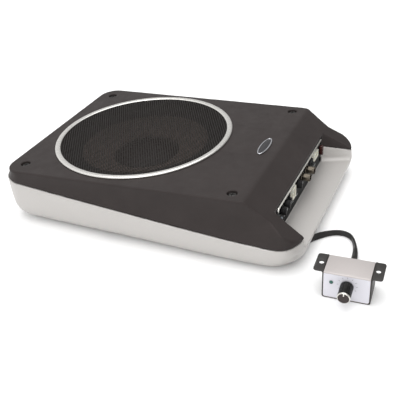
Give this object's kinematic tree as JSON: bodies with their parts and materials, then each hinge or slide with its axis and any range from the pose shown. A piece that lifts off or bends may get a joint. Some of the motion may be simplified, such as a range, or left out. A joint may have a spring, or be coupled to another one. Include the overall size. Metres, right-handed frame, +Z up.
{
  "type": "powered car subwoofer",
  "caption": "Slim wedge-shaped powered under-seat subwoofer with round mesh grille, rear control panel in a recess, and a wired knob remote on a flat lead.",
  "frame": {"origin": "on the floor, under the middle of the enclosure, on the face of the middle grip pad", "axes": "+X along the enclosure towards the control panel, +Y towards the side away from the remote, +Z up"},
  "size_m": [0.4235, 0.3168, 0.0758],
  "materials": {
    "tub_paint": "fine satin silver paint",
    "cover_plastic": "fine-textured charcoal moulding",
    "ring_satin": "satin silver",
    "grille_black": "powder-coated perforated sheet",
    "badge_metal": "bright badge with a dark half",
    "black_steel": "black oxide",
    "trim_silver": "satin silver",
    "foot_rubber": "matt",
    "brass": "turned",
    "panel_black": "fine-textured black",
    "knob_black": "moulded black",
    "zinc_steel": "zinc plated",
    "nylon_white": "natural nylon",
    "gold_plate": "gold plated",
    "insert_plastic": "one white and one red insert",
    "fuse_red": "translucent",
    "led_clear": "clear lens",
    "board_green": "solder mask",
    "winding_copper": "enamelled wire",
    "capacitor_sleeve": "shrink sleeve",
    "aluminium_plate": "mill finish",
    "lead_red": "wire insulation",
    "basket_steel": "black paint",
    "surround_rubber": "smooth butyl",
    "cone_pulp": "pressed fibre",
    "spider_cloth": "treated cloth",
    "magnet_ferrite": "sintered ferrite",
    "bracket_black": "fine powder coat",
    "remote_silver": "satin silver",
    "remote_knob_gloss": "gloss black",
    "led_green": "tinted lens",
    "cord_vinyl": "extruded vinyl",
    "tie_plastic": "moulded strap",
    "plug_clear": "clear polycarbonate"
  },
  "bodies": {
    "enclosure": {"lower_tub": "tub_paint", "top_cover": "cover_plastic", "trim_ring": "ring_satin", "grille": "grille_black", "badge": "badge_metal", "cover_screws": "black_steel", "panel_trim": "trim_silver", "rubber_feet": "foot_rubber", "bracket_inserts": "brass", "control_panel": "panel_black", "panel_screws": "black_steel", "control_shafts": "zinc_steel", "phase_switch_body": "zinc_steel", "speaker_input_socket": "nylon_white", "rca_jack_shells": "gold_plate", "rca_jack_inserts": "insert_plastic", "remote_port": "panel_black", "power_socket": "nylon_white", "fuse_holder": "knob_black", "power_led": "led_clear", "amplifier_board": "board_green", "toroid_core": "winding_copper", "capacitors": "capacitor_sleeve", "power_transistors": "knob_black", "heat_spreader": "aluminium_plate", "woofer_lead": "lead_red", "basket": "basket_steel", "basket_gasket": "foot_rubber", "woofer_screws": "black_steel", "surround": "surround_rubber", "spider": "spider_cloth", "terminal_block": "knob_black", "motor_top_plate": "zinc_steel", "magnet": "magnet_ferrite", "back_yoke": "zinc_steel", "remote_bracket": "bracket_black", "remote_cover": "remote_silver", "remote_control_pot": "zinc_steel", "remote_led": "led_green", "remote_board": "board_green", "remote_cover_screws": "black_steel", "remote_grommet": "foot_rubber", "remote_cord": "cord_vinyl", "cord_hank": "cord_vinyl", "cord_tail": "cord_vinyl", "cord_tie": "tie_plastic", "cord_plug": "plug_clear"},
    "cone_assembly": {"cone": "cone_pulp", "dust_cap": "cone_pulp", "voice_coil": "winding_copper"},
    "crossover_dial": {"crossover_knob": "knob_black"},
    "gain_dial": {"gain_knob": "knob_black"},
    "boost_dial": {"boost_knob": "knob_black"},
    "phase_slider": {"phase_switch": "knob_black"},
    "fuse_link": {"fuse": "fuse_red"},
    "remote_dial": {"remote_knob": "remote_knob_gloss", "remote_knob_collar": "trim_silver"}
  },
  "joints": [
    {"name": "cone_travel", "type": "slide", "parent": "enclosure", "child": "cone_assembly", "axis": [-0.0332, 0, 0.9995], "range_m": [-0.004, 0.004], "stiffness_N_per_m": 3000, "deforming": ["surround", "spider"]},
    {"name": "crossover_turn", "type": "hinge", "parent": "enclosure", "child": "crossover_dial", "pos_m": [0.14, -0.0645, 0.0435], "axis": [1, 0, 0], "range_deg": [-140, 140]},
    {"name": "gain_turn", "type": "hinge", "parent": "enclosure", "child": "gain_dial", "pos_m": [0.14, -0.052, 0.0435], "axis": [1, 0, 0], "range_deg": [-140, 140]},
    {"name": "boost_turn", "type": "hinge", "parent": "enclosure", "child": "boost_dial", "pos_m": [0.14, -0.012, 0.0435], "axis": [1, 0, 0], "range_deg": [-140, 140]},
    {"name": "phase_slide", "type": "slide", "parent": "enclosure", "child": "phase_slider", "axis": [0, 1, 0], "range_m": [0, 0.004]},
    {"name": "fuse_pull", "type": "slide", "parent": "enclosure", "child": "fuse_link", "axis": [1, 0, 0], "range_m": [0, 0.014]},
    {"name": "remote_turn", "type": "hinge", "parent": "enclosure", "child": "remote_dial", "pos_m": [0.22101, -0.12554, 0.018], "axis": [0.0523, -0.9986, 0], "range_deg": [-140, 140]}
  ]
}
